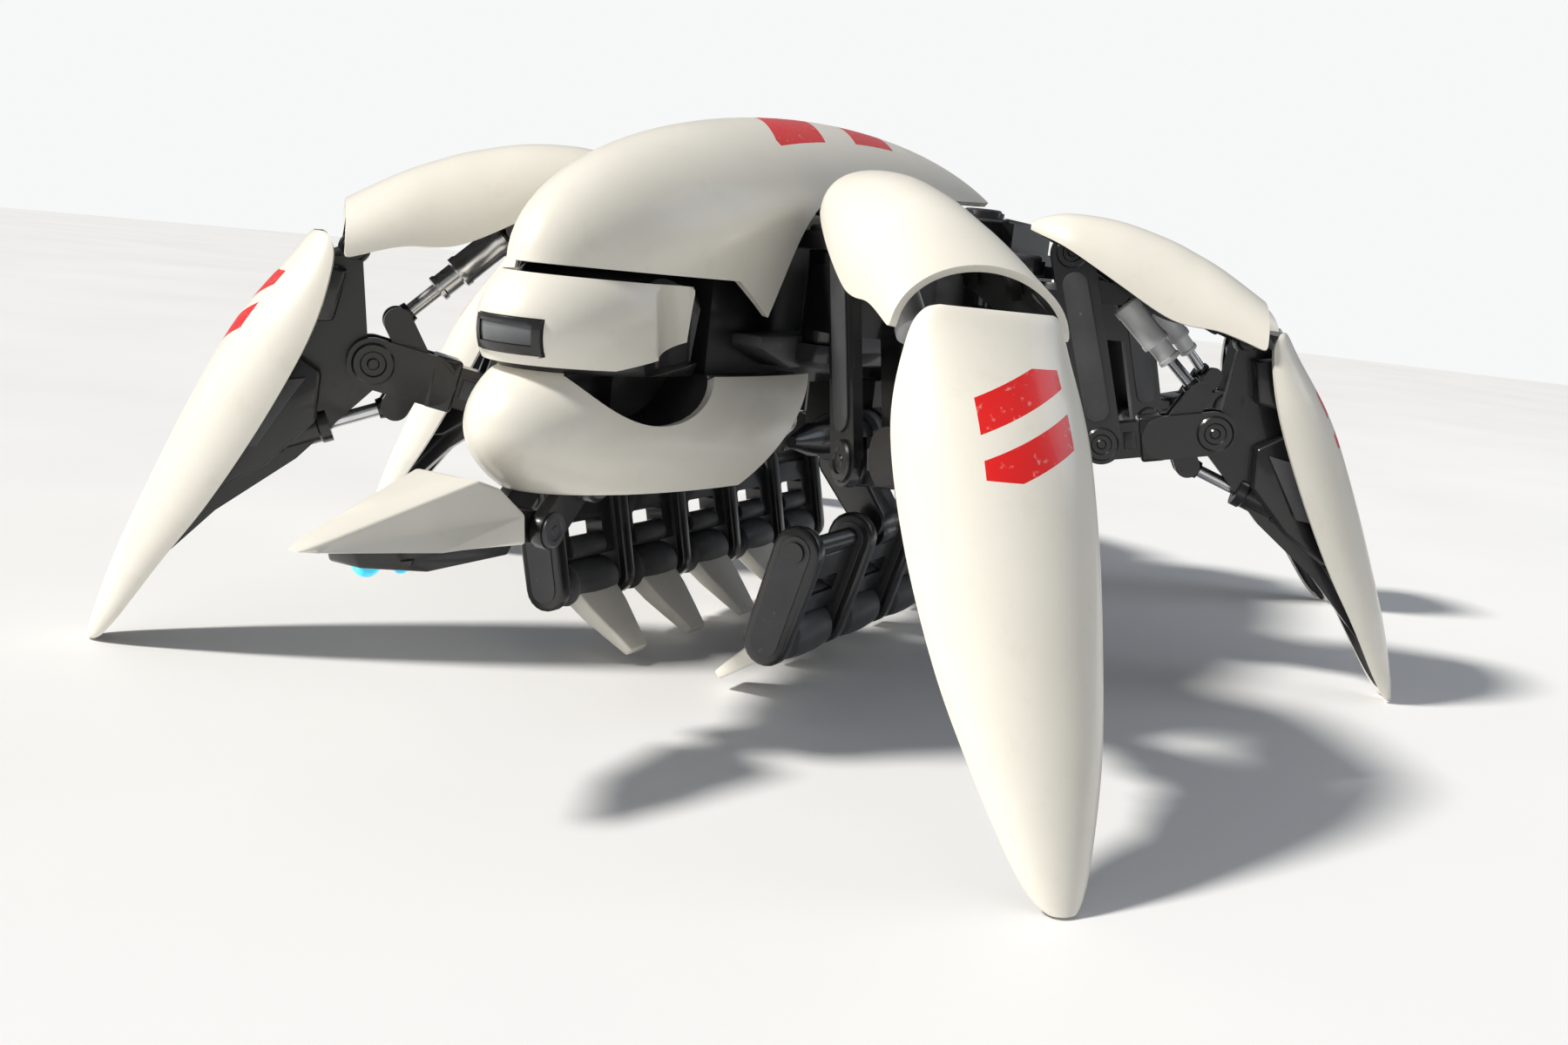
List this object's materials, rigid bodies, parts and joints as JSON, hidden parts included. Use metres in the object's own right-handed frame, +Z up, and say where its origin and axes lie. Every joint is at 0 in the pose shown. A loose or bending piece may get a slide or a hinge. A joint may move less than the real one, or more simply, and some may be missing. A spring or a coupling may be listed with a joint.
{
  "type": "hexapod robot",
  "caption": "Six-legged walking robot with a domed white carapace, hinged armoured legs with lift rams, a visored head, a tilting lamp pod and two under-body gripping hands.",
  "frame": {"origin": "on the floor under the middle of the stance's bounding box", "axes": "+X forward to the lamp pod's nose, +Y to the robot's left, +Z up"},
  "size_m": [0.599, 0.4688, 0.209],
  "materials": {
    "shell_white": "semi-gloss moulded shell",
    "gloss_black": "gloss black moulded frame",
    "frame_grey": "satin grey moulding",
    "bright_steel": "polished rod",
    "cylinder_white": "semi-gloss white paint",
    "visor_glass": "smoked gloss"
  },
  "bodies": {
    "frame": {"chassis": "frame_grey", "carapace": "shell_white", "head_shell": "shell_white", "visor": "visor_glass", "jaw_shell": "shell_white"},
    "lamp": {"lamp_pod": "shell_white"},
    "front_left_hip": {"front_left_hip_yoke": "gloss_black"},
    "front_left_beam": {"front_left_femur_beam": "gloss_black"},
    "front_left_thigh_guard": {"front_left_thigh_armor": "shell_white"},
    "front_left_cylinder": {"front_left_lift_cylinder": "cylinder_white"},
    "front_left_ram": {"front_left_lift_rod": "bright_steel"},
    "front_left_shin": {"front_left_shin_frame": "gloss_black", "front_left_shin_armor": "shell_white"},
    "front_left_damper": {"front_left_knee_rod": "bright_steel"},
    "front_right_hip": {"front_right_hip_yoke": "gloss_black"},
    "front_right_beam": {"front_right_femur_beam": "gloss_black"},
    "front_right_thigh_guard": {"front_right_thigh_armor": "shell_white"},
    "front_right_cylinder": {"front_right_lift_cylinder": "cylinder_white"},
    "front_right_ram": {"front_right_lift_rod": "bright_steel"},
    "front_right_shin": {"front_right_shin_frame": "gloss_black", "front_right_shin_armor": "shell_white"},
    "front_right_damper": {"front_right_knee_rod": "bright_steel"},
    "mid_left_hip": {"mid_left_hip_yoke": "gloss_black"},
    "mid_left_beam": {"mid_left_femur_beam": "gloss_black"},
    "mid_left_thigh_guard": {"mid_left_thigh_armor": "shell_white"},
    "mid_left_cylinder": {"mid_left_lift_cylinder": "cylinder_white"},
    "mid_left_ram": {"mid_left_lift_rod": "bright_steel"},
    "mid_left_shin": {"mid_left_shin_frame": "gloss_black", "mid_left_shin_armor": "shell_white"},
    "mid_left_damper": {"mid_left_knee_rod": "bright_steel"},
    "mid_right_hip": {"mid_right_hip_yoke": "gloss_black"},
    "mid_right_beam": {"mid_right_femur_beam": "gloss_black"},
    "mid_right_thigh_guard": {"mid_right_thigh_armor": "shell_white"},
    "mid_right_cylinder": {"mid_right_lift_cylinder": "cylinder_white"},
    "mid_right_ram": {"mid_right_lift_rod": "bright_steel"},
    "mid_right_shin": {"mid_right_shin_frame": "gloss_black", "mid_right_shin_armor": "shell_white"},
    "mid_right_damper": {"mid_right_knee_rod": "bright_steel"},
    "rear_left_hip": {"rear_left_hip_yoke": "gloss_black"},
    "rear_left_beam": {"rear_left_femur_beam": "gloss_black"},
    "rear_left_thigh_guard": {"rear_left_thigh_armor": "shell_white"},
    "rear_left_cylinder": {"rear_left_lift_cylinder": "cylinder_white"},
    "rear_left_ram": {"rear_left_lift_rod": "bright_steel"},
    "rear_left_shin": {"rear_left_shin_frame": "gloss_black", "rear_left_shin_armor": "shell_white"},
    "rear_left_damper": {"rear_left_knee_rod": "bright_steel"},
    "rear_right_hip": {"rear_right_hip_yoke": "gloss_black"},
    "rear_right_beam": {"rear_right_femur_beam": "gloss_black"},
    "rear_right_thigh_guard": {"rear_right_thigh_armor": "shell_white"},
    "rear_right_cylinder": {"rear_right_lift_cylinder": "cylinder_white"},
    "rear_right_ram": {"rear_right_lift_rod": "bright_steel"},
    "rear_right_shin": {"rear_right_shin_frame": "gloss_black", "rear_right_shin_armor": "shell_white"},
    "rear_right_damper": {"rear_right_knee_rod": "bright_steel"},
    "left_hand_arm": {"left_arm": "frame_grey"},
    "left_hand_palm": {"left_palm": "shell_white"},
    "left_hand_claws": {"left_claws": "shell_white"},
    "right_hand_arm": {"right_arm": "frame_grey"},
    "right_hand_palm": {"right_palm": "shell_white"},
    "right_hand_claws": {"right_claws": "shell_white"}
  },
  "joints": [
    {"name": "front_left_hip_yaw", "type": "hinge", "parent": "frame", "child": "front_left_hip", "pos_m": [0.096, 0.042, 0.144], "axis": [0, 0, 1], "range_deg": [-12, 25]},
    {"name": "front_left_hip_lift", "type": "hinge", "parent": "front_left_hip", "child": "front_left_beam", "pos_m": [0.12492, 0.07647, 0.094], "axis": [0.766, -0.6428, 0], "range_deg": [-12, 14]},
    {"name": "front_left_knee", "type": "hinge", "parent": "front_left_beam", "child": "front_left_shin", "pos_m": [0.15385, 0.11094, 0.104], "axis": [0.766, -0.6428, 0], "range_deg": [-30, 4]},
    {"name": "front_left_thigh_guard_tilt", "type": "hinge", "parent": "front_left_hip", "child": "front_left_thigh_guard", "pos_m": [0.11014, 0.05885, 0.171], "axis": [0.766, -0.6428, 0], "range_deg": [-7.5, 8.7]},
    {"name": "front_left_cylinder_swing", "type": "hinge", "parent": "front_left_hip", "child": "front_left_cylinder", "pos_m": [0.12364, 0.07494, 0.156], "axis": [0.766, -0.6428, 0], "range_deg": [-2.4, 2.7]},
    {"name": "front_left_ram_slide", "type": "slide", "parent": "front_left_cylinder", "child": "front_left_ram", "axis": [0.4663, 0.5557, -0.6883], "range_m": [-0.0111, 0.0096]},
    {"name": "front_left_damper_slide", "type": "slide", "parent": "front_left_shin", "child": "front_left_damper", "axis": [0.604, 0.7198, -0.342], "range_m": [-0.0014, 0.0092]},
    {"name": "front_right_hip_yaw", "type": "hinge", "parent": "frame", "child": "front_right_hip", "pos_m": [0.096, -0.042, 0.144], "axis": [0, 0, -1], "range_deg": [-6, 30]},
    {"name": "front_right_hip_lift", "type": "hinge", "parent": "front_right_hip", "child": "front_right_beam", "pos_m": [0.12782, -0.07382, 0.094], "axis": [-0.7071, -0.7071, 0], "range_deg": [-12, 14]},
    {"name": "front_right_knee", "type": "hinge", "parent": "front_right_beam", "child": "front_right_shin", "pos_m": [0.15964, -0.10564, 0.104], "axis": [-0.7071, -0.7071, 0], "range_deg": [-30, 4]},
    {"name": "front_right_thigh_guard_tilt", "type": "hinge", "parent": "front_right_hip", "child": "front_right_thigh_guard", "pos_m": [0.11156, -0.05756, 0.171], "axis": [-0.7071, -0.7071, 0], "range_deg": [-7.5, 8.7]},
    {"name": "front_right_cylinder_swing", "type": "hinge", "parent": "front_right_hip", "child": "front_right_cylinder", "pos_m": [0.12641, -0.07241, 0.156], "axis": [-0.7071, -0.7071, 0], "range_deg": [-2.4, 2.7]},
    {"name": "front_right_ram_slide", "type": "slide", "parent": "front_right_cylinder", "child": "front_right_ram", "axis": [0.513, -0.513, -0.6883], "range_m": [-0.0111, 0.0096]},
    {"name": "front_right_damper_slide", "type": "slide", "parent": "front_right_shin", "child": "front_right_damper", "axis": [0.6645, -0.6645, -0.342], "range_m": [-0.0014, 0.0092]},
    {"name": "mid_left_hip_yaw", "type": "hinge", "parent": "frame", "child": "mid_left_hip", "pos_m": [-0.039, 0.062, 0.144], "axis": [0, 0, 1], "range_deg": [-43, 5]},
    {"name": "mid_left_hip_lift", "type": "hinge", "parent": "mid_left_hip", "child": "mid_left_beam", "pos_m": [-0.05291, 0.1048, 0.094], "axis": [0.9511, 0.309, 0], "range_deg": [-12, 14]},
    {"name": "mid_left_knee", "type": "hinge", "parent": "mid_left_beam", "child": "mid_left_shin", "pos_m": [-0.06681, 0.1476, 0.104], "axis": [0.9511, 0.309, 0], "range_deg": [-30, 4]},
    {"name": "mid_left_thigh_guard_tilt", "type": "hinge", "parent": "mid_left_hip", "child": "mid_left_thigh_guard", "pos_m": [-0.0458, 0.08292, 0.171], "axis": [0.9511, 0.309, 0], "range_deg": [-7.5, 8.7]},
    {"name": "mid_left_cylinder_swing", "type": "hinge", "parent": "mid_left_hip", "child": "mid_left_cylinder", "pos_m": [-0.05229, 0.1029, 0.156], "axis": [0.9511, 0.309, 0], "range_deg": [-2.4, 2.7]},
    {"name": "mid_left_ram_slide", "type": "slide", "parent": "mid_left_cylinder", "child": "mid_left_ram", "axis": [-0.2242, 0.69, -0.6883], "range_m": [-0.0111, 0.0096]},
    {"name": "mid_left_damper_slide", "type": "slide", "parent": "mid_left_shin", "child": "mid_left_damper", "axis": [-0.2904, 0.8937, -0.342], "range_m": [-0.0014, 0.0092]},
    {"name": "mid_right_hip_yaw", "type": "hinge", "parent": "frame", "child": "mid_right_hip", "pos_m": [-0.039, -0.062, 0.144], "axis": [0, 0, -1], "range_deg": [-7, 41]},
    {"name": "mid_right_hip_lift", "type": "hinge", "parent": "mid_right_hip", "child": "mid_right_beam", "pos_m": [-0.02509, -0.1048, 0.094], "axis": [-0.9511, -0.309, 0], "range_deg": [-12, 14]},
    {"name": "mid_right_knee", "type": "hinge", "parent": "mid_right_beam", "child": "mid_right_shin", "pos_m": [-0.01119, -0.1476, 0.104], "axis": [-0.9511, -0.309, 0], "range_deg": [-30, 4]},
    {"name": "mid_right_thigh_guard_tilt", "type": "hinge", "parent": "mid_right_hip", "child": "mid_right_thigh_guard", "pos_m": [-0.0322, -0.08292, 0.171], "axis": [-0.9511, -0.309, 0], "range_deg": [-7.5, 8.7]},
    {"name": "mid_right_cylinder_swing", "type": "hinge", "parent": "mid_right_hip", "child": "mid_right_cylinder", "pos_m": [-0.02571, -0.1029, 0.156], "axis": [-0.9511, -0.309, 0], "range_deg": [-2.4, 2.7]},
    {"name": "mid_right_ram_slide", "type": "slide", "parent": "mid_right_cylinder", "child": "mid_right_ram", "axis": [0.2242, -0.69, -0.6883], "range_m": [-0.0111, 0.0096]},
    {"name": "mid_right_damper_slide", "type": "slide", "parent": "mid_right_shin", "child": "mid_right_damper", "axis": [0.2904, -0.8937, -0.342], "range_m": [-0.0014, 0.0092]},
    {"name": "rear_left_hip_yaw", "type": "hinge", "parent": "frame", "child": "rear_left_hip", "pos_m": [-0.174, 0.052, 0.144], "axis": [0, 0, 1], "range_deg": [-21, 27]},
    {"name": "rear_left_hip_lift", "type": "hinge", "parent": "rear_left_hip", "child": "rear_left_beam", "pos_m": [-0.20469, 0.08491, 0.094], "axis": [0.7314, 0.682, 0], "range_deg": [-12, 14]},
    {"name": "rear_left_knee", "type": "hinge", "parent": "rear_left_beam", "child": "rear_left_shin", "pos_m": [-0.23538, 0.11782, 0.104], "axis": [0.7314, 0.682, 0], "range_deg": [-30, 4]},
    {"name": "rear_left_thigh_guard_tilt", "type": "hinge", "parent": "rear_left_hip", "child": "rear_left_thigh_guard", "pos_m": [-0.189, 0.06809, 0.171], "axis": [0.7314, 0.682, 0], "range_deg": [-7.5, 8.7]},
    {"name": "rear_left_cylinder_swing", "type": "hinge", "parent": "rear_left_hip", "child": "rear_left_cylinder", "pos_m": [-0.20333, 0.08345, 0.156], "axis": [0.7314, 0.682, 0], "range_deg": [-2.4, 2.7]},
    {"name": "rear_left_ram_slide", "type": "slide", "parent": "rear_left_cylinder", "child": "rear_left_ram", "axis": [-0.4948, 0.5306, -0.6883], "range_m": [-0.0111, 0.0096]},
    {"name": "rear_left_damper_slide", "type": "slide", "parent": "rear_left_shin", "child": "rear_left_damper", "axis": [-0.6409, 0.6872, -0.342], "range_m": [-0.0014, 0.0092]},
    {"name": "rear_right_hip_yaw", "type": "hinge", "parent": "frame", "child": "rear_right_hip", "pos_m": [-0.174, -0.052, 0.144], "axis": [0, 0, -1], "range_deg": [-21, 27]},
    {"name": "rear_right_hip_lift", "type": "hinge", "parent": "rear_right_hip", "child": "rear_right_beam", "pos_m": [-0.20469, -0.08491, 0.094], "axis": [-0.7314, 0.682, 0], "range_deg": [-12, 14]},
    {"name": "rear_right_knee", "type": "hinge", "parent": "rear_right_beam", "child": "rear_right_shin", "pos_m": [-0.23538, -0.11782, 0.104], "axis": [-0.7314, 0.682, 0], "range_deg": [-30, 4]},
    {"name": "rear_right_thigh_guard_tilt", "type": "hinge", "parent": "rear_right_hip", "child": "rear_right_thigh_guard", "pos_m": [-0.189, -0.06809, 0.171], "axis": [-0.7314, 0.682, 0], "range_deg": [-7.5, 8.7]},
    {"name": "rear_right_cylinder_swing", "type": "hinge", "parent": "rear_right_hip", "child": "rear_right_cylinder", "pos_m": [-0.20333, -0.08345, 0.156], "axis": [-0.7314, 0.682, 0], "range_deg": [-2.4, 2.7]},
    {"name": "rear_right_ram_slide", "type": "slide", "parent": "rear_right_cylinder", "child": "rear_right_ram", "axis": [-0.4948, -0.5306, -0.6883], "range_m": [-0.0111, 0.0096]},
    {"name": "rear_right_damper_slide", "type": "slide", "parent": "rear_right_shin", "child": "rear_right_damper", "axis": [-0.6409, -0.6872, -0.342], "range_m": [-0.0014, 0.0092]},
    {"name": "left_arm_swing", "type": "hinge", "parent": "frame", "child": "left_hand_arm", "pos_m": [0.016, 0.036, 0.093], "axis": [1, 0, 0], "range_deg": [-3, 15]},
    {"name": "left_palm_swing", "type": "hinge", "parent": "left_hand_arm", "child": "left_hand_palm", "pos_m": [0.016, 0.054, 0.06], "axis": [1, 0, 0], "range_deg": [-8, 30]},
    {"name": "left_claws_open", "type": "hinge", "parent": "left_hand_palm", "child": "left_hand_claws", "pos_m": [0.016, 0.046, 0.027], "axis": [1, 0, 0], "range_deg": [-8, 40]},
    {"name": "right_arm_swing", "type": "hinge", "parent": "frame", "child": "right_hand_arm", "pos_m": [0.016, -0.036, 0.093], "axis": [-1, 0, 0], "range_deg": [-3, 15]},
    {"name": "right_palm_swing", "type": "hinge", "parent": "right_hand_arm", "child": "right_hand_palm", "pos_m": [0.016, -0.054, 0.06], "axis": [-1, 0, 0], "range_deg": [-8, 30]},
    {"name": "right_claws_open", "type": "hinge", "parent": "right_hand_palm", "child": "right_hand_claws", "pos_m": [0.016, -0.046, 0.027], "axis": [-1, 0, 0], "range_deg": [-8, 40]},
    {"name": "lamp_tilt", "type": "hinge", "parent": "frame", "child": "lamp", "pos_m": [0.206, 0, 0.069], "axis": [0, 1, 0], "range_deg": [-8, 25]}
  ],
  "couplings": [
    {"joint": "front_left_thigh_guard_tilt", "follows": "front_left_hip_lift", "ratio": 0.6},
    {"joint": "front_left_cylinder_swing", "follows": "front_left_hip_lift", "ratio": 0.17},
    {"joint": "front_left_ram_slide", "follows": "front_left_hip_lift", "m_per_rad": -0.0437},
    {"joint": "front_left_damper_slide", "follows": "front_left_knee", "m_per_rad": -0.017},
    {"joint": "front_right_thigh_guard_tilt", "follows": "front_right_hip_lift", "ratio": 0.6},
    {"joint": "front_right_cylinder_swing", "follows": "front_right_hip_lift", "ratio": 0.17},
    {"joint": "front_right_ram_slide", "follows": "front_right_hip_lift", "m_per_rad": -0.0437},
    {"joint": "front_right_damper_slide", "follows": "front_right_knee", "m_per_rad": -0.017},
    {"joint": "mid_left_thigh_guard_tilt", "follows": "mid_left_hip_lift", "ratio": 0.6},
    {"joint": "mid_left_cylinder_swing", "follows": "mid_left_hip_lift", "ratio": 0.17},
    {"joint": "mid_left_ram_slide", "follows": "mid_left_hip_lift", "m_per_rad": -0.0437},
    {"joint": "mid_left_damper_slide", "follows": "mid_left_knee", "m_per_rad": -0.017},
    {"joint": "mid_right_thigh_guard_tilt", "follows": "mid_right_hip_lift", "ratio": 0.6},
    {"joint": "mid_right_cylinder_swing", "follows": "mid_right_hip_lift", "ratio": 0.17},
    {"joint": "mid_right_ram_slide", "follows": "mid_right_hip_lift", "m_per_rad": -0.0437},
    {"joint": "mid_right_damper_slide", "follows": "mid_right_knee", "m_per_rad": -0.017},
    {"joint": "rear_left_thigh_guard_tilt", "follows": "rear_left_hip_lift", "ratio": 0.6},
    {"joint": "rear_left_cylinder_swing", "follows": "rear_left_hip_lift", "ratio": 0.17},
    {"joint": "rear_left_ram_slide", "follows": "rear_left_hip_lift", "m_per_rad": -0.0437},
    {"joint": "rear_left_damper_slide", "follows": "rear_left_knee", "m_per_rad": -0.017},
    {"joint": "rear_right_thigh_guard_tilt", "follows": "rear_right_hip_lift", "ratio": 0.6},
    {"joint": "rear_right_cylinder_swing", "follows": "rear_right_hip_lift", "ratio": 0.17},
    {"joint": "rear_right_ram_slide", "follows": "rear_right_hip_lift", "m_per_rad": -0.0437},
    {"joint": "rear_right_damper_slide", "follows": "rear_right_knee", "m_per_rad": -0.017}
  ]
}
